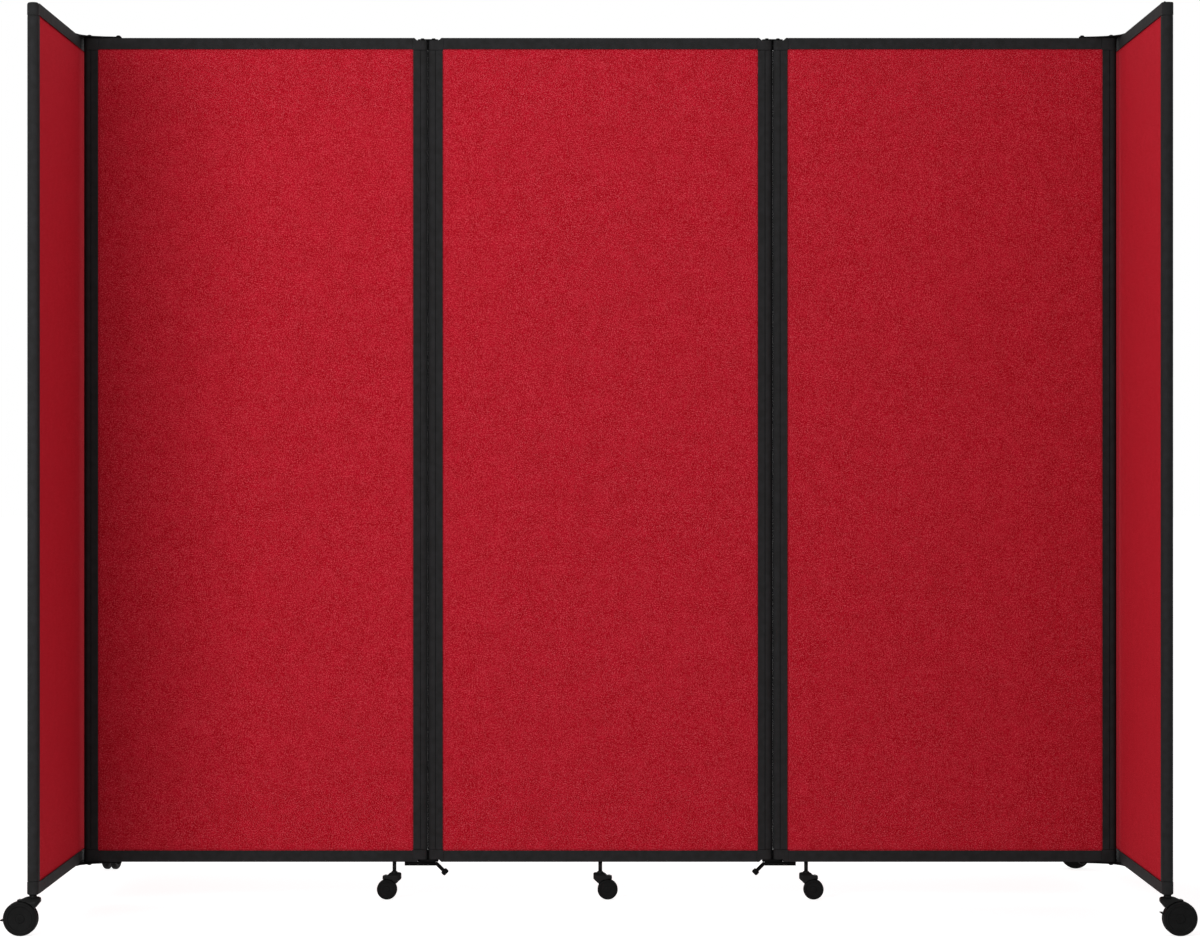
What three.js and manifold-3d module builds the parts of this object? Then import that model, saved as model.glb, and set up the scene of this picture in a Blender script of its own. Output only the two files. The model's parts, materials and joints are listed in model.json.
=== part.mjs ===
// Ward privacy screen on wheels: three framed panels in a row, joined by double-pivot hinges,
// with a wide end wing hinged to each end, standing on seven twin-wheel casters.
// Millimetres. +X runs along the row, -Y is the front, +Z is up, and Z = 0 is the floor.
import * as THREE from "three";
import { mergeVertices } from "three/addons/utils/BufferGeometryUtils.js";
import Module from "manifold-3d";

const wasm = await Module();
wasm.setup();

// Overall sizes
const panelPitch = 838.2;
const wingWidth = 1676.4;
const frameHeight = 2004;
const frameThickness = 25.4;

// Frame sections
const stileWidth = 35;
const railHeight = 27.5;
const railEdgeRadius = 1.6;
const grooveDepth = 8;
const boardThickness = 20;
const fitGap = 0.3;

// Corner caps
const capHeight = 29;
const capProud = 0.5;
const capRecess = 6.1;
const capSlopeRun = 11.6;

// Seam groove down each stile
const seamPlace = 17.5;
const seamWidth = 1.2;
const seamDepth = 0.6;

// Double-pivot hinges
const pivotSpacing = 27;
const linkThickness = 3;
const linkRadius = 12.1;
const linkPinRadius = 4;
const linkPinHeadRadius = 5;
const linkPinHeadHeight = 2.7;
const linkPinLength = 17;
const sealProud = 1.3;
const sealDepth = 3;
const sealWidth = 2.4;

// Corner plates between wing and row
const wingOffset = 30;
const gussetThickness = 3.3;
const gussetTipRadius = 8;
const gussetPanelReach = 70.6;
const gussetWingReach = 91;
const gussetWaist = 13;
const screwHeadRadius = 6.5;
const screwHeadHeight = 2.5;
const cornerPinRadius = 4.5;
const cornerPinLength = 20;

// Hinge lock levers under the row
const leverThickness = 9;
const leverWidth = 8;
const leverPivotPlace = 45;
const leverTail = 12;
const leverReach = 21;
const leverDrop = 20;
const leverPinRadius = 3.5;
const leverPinLength = 14;
const leverKnobRadius = 7.2;
const leverKnobLength = 9;

// Large casters at the ends of the wings
const large = {
  wheelRadius: 38.9,
  frameGap: 3.6,
  wheelWidth: 14,
  wheelGap: 10,
  treadRadius: 2.4,
  dishDepth: 2.2,
  rimWidth: 5.5,
  trail: 27.5,
  axleRadius: 4,
  stemRadius: 5.5,
  stemLength: 34,
  collarRadius: 8.6,
  headRise: 10.6,
  headFront: 18,
  noseDepth: 11.4,
  noseRound: 8,
  headFlat: 8,
  shoulder: 20,
  shoulderDrop: 3.4,
  headTail: 8.5,
  tailDrop: 11,
  tailLip: 4.5,
  headHalfWidth: 19,
  headCornerRadius: 14,
  headCrown: 13,
  webWidth: 6,
  wheelClearance: 1.2,
  wheelSteps: 18,
};

// Small casters under the row
const small = {
  wheelRadius: 24.6,
  wheelWidth: 10,
  wheelGap: 7.6,
  treadRadius: 1.8,
  dishDepth: 1.6,
  rimWidth: 3.6,
  trail: 18,
  axleRadius: 3,
  stemRadius: 4.7,
  stemLength: 17,
  collarRadius: 7.4,
  collarHeight: 2.5,
  headRise: 17.3,
  headFront: 17,
  noseDepth: 16,
  noseRound: 4.5,
  headFlat: 6.5,
  shoulder: 16,
  shoulderDrop: 7,
  headTail: 10.6,
  tailDrop: 10.8,
  tailLip: 5,
  headHalfWidth: 13.8,
  headCornerRadius: 10,
  headCrown: 9,
  webWidth: 4.4,
  wheelClearance: 1,
  wheelSteps: 14,
};

// Brake lever of a large caster, which turns on the axle
const brakeCheek = 1.2;
const brakeEyeRadius = 6;
const brakeArmWidth = 6.4;
const brakeBridge = 4;
const brakeTabWidth = 24;
const brakeTabLength = 6;
const brakeTabRoot = 5;
const brakeTabTip = 1.6;
const brakeDown = -5;
const brakeForward = 163;

// Places and swivel angles, in degrees about +Z from +X, of the casters at rest
const smallCasterInset = 81.9;
const headings = {
  front_left: 180,
  rear_left: 260,
  front_right: 0,
  rear_right: 180,
  row_left: 180,
  row_centre: 0,
  row_right: 0,
};

// Shares that shape the caster heads: the shoulder's curve, the arch's width and the web's foot
const shoulderShares = [0.75, 0.15];
const archShare = 0.5;
const webFootShare = 1.7;
const axleEyeShare = 2;
const headFootShares = [0.72, 1.45];

// Shares across and along that shape a domed head and the knob of a lever
const domeShares = [[0, -0.5], [1, -0.5], [1, 0.3], [0.75, 0.9], [0, 1]];
const knobShares = [[0, -0.5], [0.6, -0.5], [1, -0.2], [1, 0.2], [0.6, 0.5], [0, 0.5]];

// Worked-out sizes
for (const c of [large, small]) {
  c.headTop = 2 * c.wheelRadius + c.headRise;
  c.headRear = c.trail + c.headTail;
}
const frameLift = large.headTop + large.frameGap;
const noseRadius = frameThickness / 2;
const capRadius = noseRadius + capProud;
const pivotSpan = panelPitch - pivotSpacing;
const halfSpan = pivotSpan / 2;
const innerPivot = halfSpan;
const outerPivot = halfSpan + pivotSpacing;
const wingPivot = outerPivot + pivotSpan;
const wingPlane = wingPivot + wingOffset;
const wingStem = wingWidth / 2 - noseRadius;
const frameTop = frameLift + frameHeight;
const hingeCentre = panelPitch / 2;
const smallCasterPlace = hingeCentre + smallCasterInset;

// The overrun of every cut, and how near two points of a mesh lie when they are one
const cutOver = 2;
const weld = 1e-4;

// Counts of the sides that curves are drawn with
const pinSteps = 12;
const noseSteps = 6;
const headSteps = 8;
const plateSteps = 5;
const hoodSteps = 4;
const edgeSteps = 3;

// Materials
const charcoal = new THREE.MeshStandardMaterial({ color: 0x2b2b2c, roughness: 0.5, metalness: 0.35 });
const fabricRed = new THREE.MeshStandardMaterial({ color: 0xb42432, roughness: 0.95, metalness: 0 });
const blackSteel = new THREE.MeshStandardMaterial({ color: 0x161616, roughness: 0.4, metalness: 0.6 });
const blackNylon = new THREE.MeshStandardMaterial({ color: 0x1b1b1b, roughness: 0.45, metalness: 0 });
const wheelRubber = new THREE.MeshStandardMaterial({ color: 0x171717, roughness: 0.7, metalness: 0 });
const sealRubber = new THREE.MeshStandardMaterial({ color: 0x101010, roughness: 0.9, metalness: 0 });

const model = new THREE.Group();

// Turn a closed geometry into a solid
function solid(geometry) {
  const bare = geometry.index ? geometry.toNonIndexed() : geometry.clone();
  for (const name of Object.keys(bare.attributes)) {
    if (name !== "position") bare.deleteAttribute(name);
  }
  const merged = mergeVertices(bare, weld);
  const triVerts = new Uint32Array(merged.index.array);
  const vertProperties = new Float32Array(merged.attributes.position.array);
  return new wasm.Manifold(new wasm.Mesh({ numProp: 3, vertProperties, triVerts }));
}

// Turn a solid back into a geometry
function geometryOf(body) {
  const mesh = body.getMesh();
  const geometry = new THREE.BufferGeometry();
  geometry.setAttribute("position", new THREE.BufferAttribute(new Float32Array(mesh.vertProperties), 3));
  geometry.setIndex(new THREE.BufferAttribute(new Uint32Array(mesh.triVerts), 1));
  const faceted = geometry.toNonIndexed();
  faceted.computeVertexNormals();
  return faceted;
}

// Join several solids into one
function joined(...bodies) {
  return bodies.reduce((whole, body) => whole.add(body));
}

// A named mesh of a solid, added to a group
function place(group, name, body, material) {
  const mesh = new THREE.Mesh(geometryOf(body), material);
  mesh.name = name;
  group.add(mesh);
  return mesh;
}

// A prism of a plan outline between two heights
function uprightPrism(shape, low, high, curveSegments = noseSteps) {
  const options = { depth: high - low, bevelEnabled: false, curveSegments };
  return solid(new THREE.ExtrudeGeometry(shape, options).translate(0, 0, low));
}

// A prism of a side outline, drawn in X and Z, between two Y values
function crossPrism(shape, low, high, curveSegments = noseSteps) {
  const options = { depth: high - low, bevelEnabled: false, curveSegments };
  const geometry = new THREE.ExtrudeGeometry(shape, options);
  return solid(geometry.rotateX(Math.PI / 2).translate(0, high, 0));
}

// A prism of an end outline, drawn in Y and Z, between two X values
function lengthPrism(shape, low, high, curveSegments = noseSteps) {
  const options = { depth: high - low, bevelEnabled: false, curveSegments };
  const geometry = new THREE.ExtrudeGeometry(shape, options);
  const turn = new THREE.Matrix4().makeBasis(
    new THREE.Vector3(0, 1, 0),
    new THREE.Vector3(0, 0, 1),
    new THREE.Vector3(1, 0, 0),
  );
  return solid(geometry.applyMatrix4(turn).translate(low, 0, 0));
}

// A box between two corners
function box(low, high) {
  const size = high.map((value, axis) => value - low[axis]);
  const middle = high.map((value, axis) => (value + low[axis]) / 2);
  return solid(new THREE.BoxGeometry(...size).translate(...middle));
}

// An upright round bar
function upright(radius, low, high, x = 0, y = 0, steps = pinSteps) {
  const geometry = new THREE.CylinderGeometry(radius, radius, high - low, steps);
  return solid(geometry.rotateX(Math.PI / 2).translate(x, y, (low + high) / 2));
}

// A round bar along Y
function crosswise(radius, low, high, x = 0, z = 0, steps = pinSteps) {
  const geometry = new THREE.CylinderGeometry(radius, radius, high - low, steps);
  return solid(geometry.translate(x, (low + high) / 2, z));
}

// A domed screw or rivet head that stands on a height, up or down
function head(radius, height, foot, way, x = 0, y = 0) {
  const profile = domeShares.map(([across, along]) => new THREE.Vector2(radius * across, height * along));
  const geometry = new THREE.LatheGeometry(profile, headSteps).rotateX(way * Math.PI / 2);
  return solid(geometry.translate(x, y, foot));
}

// The frame's plan outline at a stile: a round nose on the pivot and a straight flank
function nosePlan(radius, reach) {
  const shape = new THREE.Shape();
  shape.moveTo(reach, -radius);
  shape.lineTo(reach, radius);
  shape.lineTo(0, radius);
  shape.absarc(0, 0, radius, Math.PI / 2, Math.PI * 1.5, false);
  shape.lineTo(reach, -radius);
  return shape;
}

// The side outline of a corner cap, with the step that holds a hinge link where it is stepped
function capOutline(stepped, reach) {
  const shape = new THREE.Shape();
  shape.moveTo(-capRadius - cutOver, frameTop - capHeight);
  shape.lineTo(reach, frameTop - capHeight);
  shape.lineTo(reach, frameTop);
  if (stepped) {
    const slopeFoot = linkRadius + fitGap;
    shape.lineTo(slopeFoot + capSlopeRun, frameTop);
    shape.lineTo(slopeFoot, frameTop - capRecess);
    shape.lineTo(-capRadius - cutOver, frameTop - capRecess);
  } else {
    shape.lineTo(-capRadius - cutOver, frameTop);
  }
  shape.closePath();
  return shape;
}

const capReach = linkRadius + fitGap + capSlopeRun + fitGap;

// A corner cap at the top of a stile
function topCap(stepped) {
  const side = crossPrism(capOutline(stepped, capReach), -capRadius, capRadius);
  const low = frameTop - capHeight - cutOver;
  const plan = uprightPrism(nosePlan(capRadius, capReach), low, frameTop + cutOver);
  return side.intersect(plan);
}

// The mirror image of a solid in the plane half way up the frame
function flipped(body) {
  return body.mirror([0, 0, 1]).translate(0, 0, frameTop + frameLift);
}

// The strip that seals a hinge, or the slot that is cut for it when it is grown by a gap
function sealStrip(grow) {
  const half = sealWidth / 2 + grow;
  const root = sealDepth - noseRadius + grow;
  const tip = -noseRadius - sealProud + half;
  const shape = new THREE.Shape();
  shape.moveTo(root, -half);
  shape.lineTo(root, half);
  shape.lineTo(tip, half);
  shape.absarc(tip, 0, half, Math.PI / 2, Math.PI * 1.5, false);
  shape.closePath();
  const inset = capHeight + fitGap - grow;
  return uprightPrism(shape, frameLift + inset, frameTop - inset, edgeSteps);
}

// A stile with its two corner caps, its nose on X = 0 and the panel towards +X
function stile(stepped, cuts) {
  const inner = stileWidth - noseRadius;
  const low = frameLift + capHeight / 2;
  let body = uprightPrism(nosePlan(noseRadius, inner), low, frameTop - capHeight / 2);
  const seam = seamPlace - noseRadius;
  for (const side of [-1, 1]) {
    const face = side * noseRadius;
    const low = [seam - seamWidth / 2, Math.min(face - side * seamDepth, face + side * cutOver), frameLift];
    const high = [seam + seamWidth / 2, Math.max(face - side * seamDepth, face + side * cutOver), frameTop];
    body = body.subtract(box(low, high));
  }
  body = joined(body, topCap(stepped), flipped(topCap(stepped)));
  return cuts.reduce((whole, cut) => whole.subtract(cut), body);
}

// The end outline of the top rail, with round outer edges
function railOutline() {
  const half = noseRadius;
  const flat = half - railEdgeRadius;
  const low = frameTop - railHeight;
  const high = frameTop - railEdgeRadius;
  const shape = new THREE.Shape();
  shape.moveTo(-half, low);
  shape.lineTo(half, low);
  shape.lineTo(half, high);
  shape.absarc(flat, high, railEdgeRadius, 0, Math.PI / 2, false);
  shape.lineTo(-flat, frameTop);
  shape.absarc(-flat, high, railEdgeRadius, Math.PI / 2, Math.PI, false);
  shape.lineTo(-half, low);
  return shape;
}

// The board, or the slot that is cut for it when it is grown by a gap
function boardBlock(span, grow) {
  const side = span / 2 + noseRadius - stileWidth + grooveDepth + grow;
  const half = boardThickness / 2 + grow;
  const low = frameLift + railHeight - grooveDepth - grow;
  return box([-side, -half, low], [side, half, frameTop - railHeight + grooveDepth + grow]);
}

// One framed panel between two noses that lie a span apart
function framedPanel(name, endNames, span, steppedEnds, stileCuts, railCuts = []) {
  const group = new THREE.Group();
  const slot = boardBlock(span, fitGap);
  for (const [index, side] of [-1, 1].entries()) {
    let post = stile(steppedEnds[index], stileCuts[index]);
    if (side > 0) post = post.mirror([1, 0, 0]);
    post = post.translate(side * span / 2, 0, 0).subtract(slot);
    place(group, `${name}_${endNames[index]}_stile`, post, charcoal);
  }
  const railEnd = span / 2 - capReach - fitGap;
  const rail = lengthPrism(railOutline(), -railEnd, railEnd, edgeSteps).subtract(slot);
  place(group, `${name}_top_rail`, rail, charcoal);
  const bottom = railCuts.reduce((whole, cut) => whole.subtract(cut), flipped(rail));
  place(group, `${name}_bottom_rail`, bottom, charcoal);
  place(group, `${name}_fabric_board`, boardBlock(span, 0), fabricRed);
  return group;
}

// The hole for an upright pin that enters a cap from above
function pinHole(radius, depth, x = 0) {
  return upright(radius + fitGap, frameTop - depth - fitGap, frameTop + cutOver, x);
}

// The hole for an upright stem or pin that enters the frame from below
function footHole(radius, depth, x = 0) {
  return upright(radius + fitGap, frameLift - cutOver, frameLift + depth + fitGap, x);
}

const linkHoles = [pinHole(linkPinRadius, linkPinLength), flipped(pinHole(linkPinRadius, linkPinLength))];
const sealedHoles = [...linkHoles, sealStrip(fitGap)];
const cornerHoles = [
  pinHole(cornerPinRadius, cornerPinLength),
  flipped(pinHole(cornerPinRadius, cornerPinLength)),
];
const wingHoles = [footHole(large.stemRadius, large.stemLength)];

// A hinge link: a stadium-shaped plate with a headed pin at each pivot
function hingeLink() {
  const shape = new THREE.Shape();
  shape.absarc(0, 0, linkRadius, Math.PI / 2, Math.PI * 1.5, false);
  shape.absarc(pivotSpacing, 0, linkRadius, -Math.PI / 2, Math.PI / 2, false);
  shape.closePath();
  const plateLow = frameTop - capRecess + fitGap;
  const plateHigh = plateLow + linkThickness;
  let body = uprightPrism(shape, plateLow, plateHigh);
  for (const x of [0, pivotSpacing]) {
    body = joined(
      body,
      upright(linkPinRadius, frameTop - linkPinLength, plateHigh, x),
      head(linkPinHeadRadius, linkPinHeadHeight, plateHigh, 1, x),
    );
  }
  return body;
}

// The three-armed corner plate, drawn about the panel's end pivot with the wing towards +X
function gussetShape() {
  const tip = gussetTipRadius;
  const shape = new THREE.Shape();
  shape.absarc(-gussetPanelReach, 0, tip, Math.PI / 2, Math.PI * 1.5, false);
  shape.quadraticCurveTo(gussetWaist, -gussetWaist - tip / 2, wingOffset - tip, -gussetWingReach);
  shape.absarc(wingOffset, -gussetWingReach, tip, Math.PI, Math.PI * 2, false);
  shape.lineTo(wingOffset + tip, gussetWingReach);
  shape.absarc(wingOffset, gussetWingReach, tip, 0, Math.PI, false);
  shape.quadraticCurveTo(gussetWaist, gussetWaist + tip / 2, -gussetPanelReach, tip);
  return shape;
}

// A corner plate with its four domed screws and bolt heads
function gusset() {
  const low = frameTop + fitGap;
  const high = low + gussetThickness;
  let body = uprightPrism(gussetShape(), low, high, plateSteps);
  const screws = [[-gussetPanelReach, 0], [wingOffset, -gussetWingReach], [wingOffset, gussetWingReach]];
  for (const [x, y] of screws) body = body.add(head(screwHeadRadius, screwHeadHeight, high, 1, x, y));
  return body.subtract(upright(cornerPinRadius + fitGap, low - cutOver, high + cutOver));
}

// The headed pin on which the row's end turns in its corner plate
function cornerPin() {
  const plateHigh = frameTop + fitGap + gussetThickness;
  const foot = plateHigh + fitGap;
  return joined(
    upright(cornerPinRadius, frameTop - cornerPinLength, foot + screwHeadHeight / 2),
    head(screwHeadRadius, screwHeadHeight, foot + screwHeadHeight / 2, 1),
    upright(screwHeadRadius, foot, foot + screwHeadHeight / 2),
  );
}

// A hinge lock lever, drawn about its pin with its grip towards +X
function lockLever() {
  const high = frameLift - fitGap;
  const low = high - leverThickness;
  const reach = leverPivotPlace + leverReach;
  const half = leverThickness / 2;
  const bend = half * Math.tan(Math.PI / 8);
  const side = new THREE.Shape();
  side.moveTo(-leverTail, low);
  side.lineTo(reach - bend, low);
  side.lineTo(reach - bend + leverDrop - half, low - leverDrop + half);
  side.lineTo(reach + bend + leverDrop, high - leverDrop);
  side.lineTo(reach + bend, high);
  side.lineTo(-leverTail, high);
  side.closePath();
  const bar = crossPrism(side, -leverWidth / 2, leverWidth / 2);
  const profile = knobShares.map(
    ([across, along]) => new THREE.Vector2(leverKnobRadius * across, leverKnobLength * along),
  );
  const knob = new THREE.LatheGeometry(profile, pinSteps).rotateZ(-Math.PI * 0.75);
  const grip = solid(knob.rotateX(Math.PI / 2)).translate(reach + leverDrop, 0, high - half - leverDrop);
  const pin = upright(leverPinRadius, high - cutOver, frameLift + leverPinLength);
  return joined(bar, grip, pin);
}

// A wheel disc with a dished outer face and a round-edged tread, its outer face towards +Y
function wheelDisc(c) {
  const r = c.wheelRadius;
  const profile = [
    new THREE.Vector2(0, 0),
    new THREE.Vector2(r - c.treadRadius, 0),
    new THREE.Vector2(r, c.treadRadius),
    new THREE.Vector2(r, c.wheelWidth - c.treadRadius),
    new THREE.Vector2(r - c.treadRadius, c.wheelWidth),
    new THREE.Vector2(r - c.rimWidth, c.wheelWidth),
    new THREE.Vector2(r - c.rimWidth - c.dishDepth, c.wheelWidth - c.dishDepth),
    new THREE.Vector2(0, c.wheelWidth - c.dishDepth),
  ];
  return solid(new THREE.LatheGeometry(profile, c.wheelSteps));
}

// A pair of wheels on one axle, at the wheel centre
function wheelPair(c) {
  const disc = wheelDisc(c).translate(0, c.wheelGap / 2, 0);
  const face = c.wheelGap / 2 + c.wheelWidth;
  const axle = crosswise(c.axleRadius, -face, face);
  return joined(disc, disc.mirror([0, 1, 0]), axle).translate(c.trail, 0, c.wheelRadius);
}

// The side outline of a caster head, from its nose in front of the stem to its tail over the wheel
function headOutline(c) {
  const top = c.headTop;
  const front = -c.headFront;
  const [along, down] = shoulderShares;
  const shape = new THREE.Shape();
  shape.moveTo(front, top - c.noseDepth);
  shape.lineTo(front, top - c.noseRound);
  shape.quadraticCurveTo(front, top, -c.headFlat, top);
  shape.lineTo(c.headFlat, top);
  shape.quadraticCurveTo(c.shoulder * along, top - c.shoulderDrop * down, c.shoulder, top - c.shoulderDrop);
  shape.lineTo(c.headRear, top - c.tailDrop);
  shape.lineTo(c.headRear, c.wheelRadius);
  shape.lineTo(c.trail - c.wheelRadius * headFootShares[0], c.wheelRadius * headFootShares[1]);
  shape.closePath();
  return shape;
}

// The end outline of a caster head: an arch over both wheels
function headArch(c) {
  const half = c.headHalfWidth;
  const top = c.headTop;
  const shape = new THREE.Shape();
  shape.moveTo(-half, 0);
  shape.lineTo(half, 0);
  shape.lineTo(half, top - c.headCrown);
  shape.quadraticCurveTo(half * archShare, top, 0, top);
  shape.quadraticCurveTo(-half * archShare, top, -half, top - c.headCrown);
  shape.closePath();
  return shape;
}

// The plan outline of a caster head, round at the front
function headPlan(c) {
  const half = c.headHalfWidth;
  const radius = c.headCornerRadius;
  const shape = new THREE.Shape();
  shape.moveTo(c.headRear, -half);
  shape.lineTo(c.headRear, half);
  shape.lineTo(radius - c.headFront, half);
  shape.absarc(radius - c.headFront, half - radius, radius, Math.PI / 2, Math.PI, false);
  shape.absarc(radius - c.headFront, radius - half, radius, Math.PI, Math.PI * 1.5, false);
  shape.closePath();
  return shape;
}

// The side outline of the web between the wheels, from the axle eye up into the hood and its tail
function webOutline(c) {
  const eye = c.axleRadius * axleEyeShare;
  const tail = c.headTop - c.tailDrop;
  const shape = new THREE.Shape();
  shape.absarc(c.trail, c.wheelRadius, eye, Math.PI, Math.PI * 2, false);
  shape.lineTo(c.headRear, tail - c.tailLip);
  shape.lineTo(c.headRear, tail);
  shape.lineTo(c.trail - c.headFlat, c.headTop - c.headCrown / 2);
  shape.lineTo(-c.headFront / 2, c.wheelRadius * webFootShare);
  shape.closePath();
  return shape;
}

// A caster head: the hood over the wheels, the web between them, the collar and the stem
function casterHead(c, lift) {
  const half = c.headHalfWidth;
  const outline = crossPrism(headOutline(c), -half, half, hoodSteps);
  const arch = lengthPrism(headArch(c), -c.headFront - cutOver, c.headRear + cutOver, hoodSteps);
  const plan = uprightPrism(headPlan(c), 0, c.headTop + cutOver, hoodSteps);
  const room = c.wheelRadius + c.wheelClearance;
  const side = half + cutOver;
  const wheelRoom = crosswise(room, -side, side, c.trail, c.wheelRadius, c.wheelSteps);
  const hood = outline.intersect(arch).intersect(plan).subtract(wheelRoom);
  const web = crossPrism(webOutline(c), -c.webWidth / 2, c.webWidth / 2);
  const foot = c.headTop - c.noseRound;
  const collar = upright(c.collarRadius, foot, frameLift + lift - fitGap);
  const stem = upright(c.stemRadius, foot, frameLift + c.stemLength);
  const axleHole = crosswise(c.axleRadius + fitGap, -half, half, c.trail, c.wheelRadius);
  return joined(hood, web, collar, stem).subtract(axleHole);
}

// Turn a solid about the Z axis by degrees and move it over the floor
function setDown(body, degrees, x, y) {
  return body.rotate([0, 0, degrees]).translate(x, y, 0);
}

// A small caster under the row
function smallCaster(name, x, heading) {
  const body = casterHead(small, small.headTop - frameLift + small.collarHeight);
  place(model, `${name}_head`, setDown(body, heading, x, 0), blackNylon);
  place(model, `${name}_wheels`, setDown(wheelPair(small), heading, x, 0), wheelRubber);
}

// The brake lever of a large caster: two cheeks on the axle and a tab past the rim, at an angle
function brakeLever(angle) {
  const web = large.webWidth / 2 + fitGap;
  const cheek = web + brakeCheek;
  const rim = large.wheelRadius + large.wheelClearance;
  const start = Math.asin(brakeArmWidth / 2 / brakeEyeRadius);
  const arm = new THREE.Shape();
  arm.absarc(0, 0, brakeEyeRadius, start, Math.PI * 2 - start, false);
  arm.lineTo(rim, -brakeTabRoot / 2);
  arm.lineTo(rim, brakeTabRoot / 2);
  arm.closePath();
  const tab = new THREE.Shape();
  tab.moveTo(rim - fitGap, -brakeTabRoot / 2);
  tab.lineTo(rim + brakeTabLength, -brakeTabTip / 2);
  tab.lineTo(rim + brakeTabLength, brakeTabTip / 2);
  tab.lineTo(rim - fitGap, brakeTabRoot / 2);
  tab.closePath();
  const slot = crosswise(large.wheelRadius - brakeBridge, -web, web);
  const axleHole = crosswise(large.axleRadius + fitGap, -cheek - cutOver, cheek + cutOver);
  const cheeks = crossPrism(arm, -cheek, cheek).subtract(slot).subtract(axleHole);
  const body = joined(cheeks, crossPrism(tab, -brakeTabWidth / 2, brakeTabWidth / 2));
  return body.rotate([0, -angle, 0]).translate(large.trail, 0, large.wheelRadius);
}

// A large caster at the end of a wing
function largeCaster(name, x, y, heading, brakeAngle = brakeDown) {
  const body = casterHead(large, capRecess);
  place(model, `${name}_head`, setDown(body, heading, x, y), blackNylon);
  place(model, `${name}_wheels`, setDown(wheelPair(large), heading, x, y), wheelRubber);
  place(model, `${name}_brake`, setDown(brakeLever(brakeAngle), heading, x, y), blackNylon);
}

// The three panels of the row
const smallInPanel = panelPitch - smallCasterPlace;
const leverInPanel = panelPitch / 2 - leverPivotPlace;
const outerRailHoles = (side) => [
  footHole(small.stemRadius, small.stemLength, side * smallInPanel),
  footHole(leverPinRadius, leverPinLength, side * leverInPanel),
];
const centreRailHoles = [footHole(small.stemRadius, small.stemLength)];
const rows = [
  ["left_panel", -panelPitch, [false, true], [cornerHoles, linkHoles], outerRailHoles(1)],
  ["centre_panel", 0, [true, true], [sealedHoles, sealedHoles], centreRailHoles],
  ["right_panel", panelPitch, [true, false], [linkHoles, cornerHoles], outerRailHoles(-1)],
];
for (const [name, x, stepped, stileCuts, railCuts] of rows) {
  const panel = framedPanel(name, ["left", "right"], pivotSpan, stepped, stileCuts, railCuts);
  panel.position.x = x;
  model.add(panel);
}

// The two wings, turned square to the row
for (const side of [-1, 1]) {
  const name = side < 0 ? "left" : "right";
  const wingSpan = wingWidth - frameThickness;
  const wing = framedPanel(`${name}_wing`, ["front", "rear"], wingSpan, [true, true], [wingHoles, wingHoles]);
  wing.rotation.z = Math.PI / 2;
  wing.position.x = side * wingPlane;
  model.add(wing);
}

// The hinge seals, hinge links, corner plates, corner pins and lock levers of both ends
const seal = sealStrip(0).mirror([1, 0, 0]).translate(innerPivot, 0, 0);
for (const side of [-1, 1]) {
  const name = side < 0 ? "left" : "right";
  const mirrored = (body) => (side < 0 ? body.mirror([1, 0, 0]) : body);
  const parts = [
    [`${name}_hinge_link`, hingeLink(), innerPivot, blackSteel],
    [`${name}_corner_plate`, gusset(), wingPivot, blackSteel],
    [`${name}_corner_pin`, cornerPin(), wingPivot, blackSteel],
  ];
  for (const [piece, body, x, material] of parts) {
    const top = mirrored(body.translate(x, 0, 0));
    place(model, `${piece}_top`, top, material);
    place(model, `${piece}_bottom`, flipped(top), material);
  }
  place(model, `${name}_hinge_seal`, mirrored(seal), sealRubber);
  const lever = lockLever().mirror([1, 0, 0]).translate(hingeCentre + leverPivotPlace, 0, 0);
  place(model, `${name}_lock_lever`, mirrored(lever), blackSteel);
}

// The casters
smallCaster("row_left_caster", -smallCasterPlace, headings.row_left);
smallCaster("row_centre_caster", 0, headings.row_centre);
smallCaster("row_right_caster", smallCasterPlace, headings.row_right);
largeCaster("front_left_caster", -wingPlane, -wingStem, headings.front_left);
largeCaster("rear_left_caster", -wingPlane, wingStem, headings.rear_left);
largeCaster("front_right_caster", wingPlane, -wingStem, headings.front_right, brakeForward);
largeCaster("rear_right_caster", wingPlane, wingStem, headings.rear_right);

export default model;
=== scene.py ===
"""Ward privacy screen on wheels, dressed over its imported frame. Metres, +Z up, -Y the front."""

import json
import math

import bmesh
import bpy
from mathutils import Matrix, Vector, noise as perlin


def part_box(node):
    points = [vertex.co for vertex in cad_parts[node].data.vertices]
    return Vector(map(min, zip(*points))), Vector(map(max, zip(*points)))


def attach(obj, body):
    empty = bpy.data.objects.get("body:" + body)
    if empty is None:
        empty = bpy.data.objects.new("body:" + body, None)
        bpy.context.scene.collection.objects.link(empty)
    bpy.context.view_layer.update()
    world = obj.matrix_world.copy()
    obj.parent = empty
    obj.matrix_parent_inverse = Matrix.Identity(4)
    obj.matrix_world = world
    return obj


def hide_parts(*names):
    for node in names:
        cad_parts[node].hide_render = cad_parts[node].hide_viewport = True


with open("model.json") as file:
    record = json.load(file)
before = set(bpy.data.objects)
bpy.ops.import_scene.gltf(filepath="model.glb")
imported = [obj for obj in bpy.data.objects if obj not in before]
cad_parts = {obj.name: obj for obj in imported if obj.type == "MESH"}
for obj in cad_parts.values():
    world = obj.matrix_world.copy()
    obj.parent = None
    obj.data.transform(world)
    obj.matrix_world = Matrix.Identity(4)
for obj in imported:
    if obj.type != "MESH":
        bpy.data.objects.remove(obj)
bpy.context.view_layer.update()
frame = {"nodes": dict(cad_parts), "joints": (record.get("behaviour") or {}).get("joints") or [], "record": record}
joints = {joint["name"]: joint for joint in frame["joints"]}

# The photograph's camera
IMAGE_WIDTH_PX = 1200
CENTRE_X_PX = 600
CENTRE_Y_PX = 470
VANISHING_X_PX = 600.25
VANISHING_Y_PX = 467
CAMERA_DISTANCE = 10.63
CAMERA_HEIGHT = 1.0524
SENSOR_WIDTH_MM = 36
FOCAL_PX = 4366
CLIP_END = 200

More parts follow.
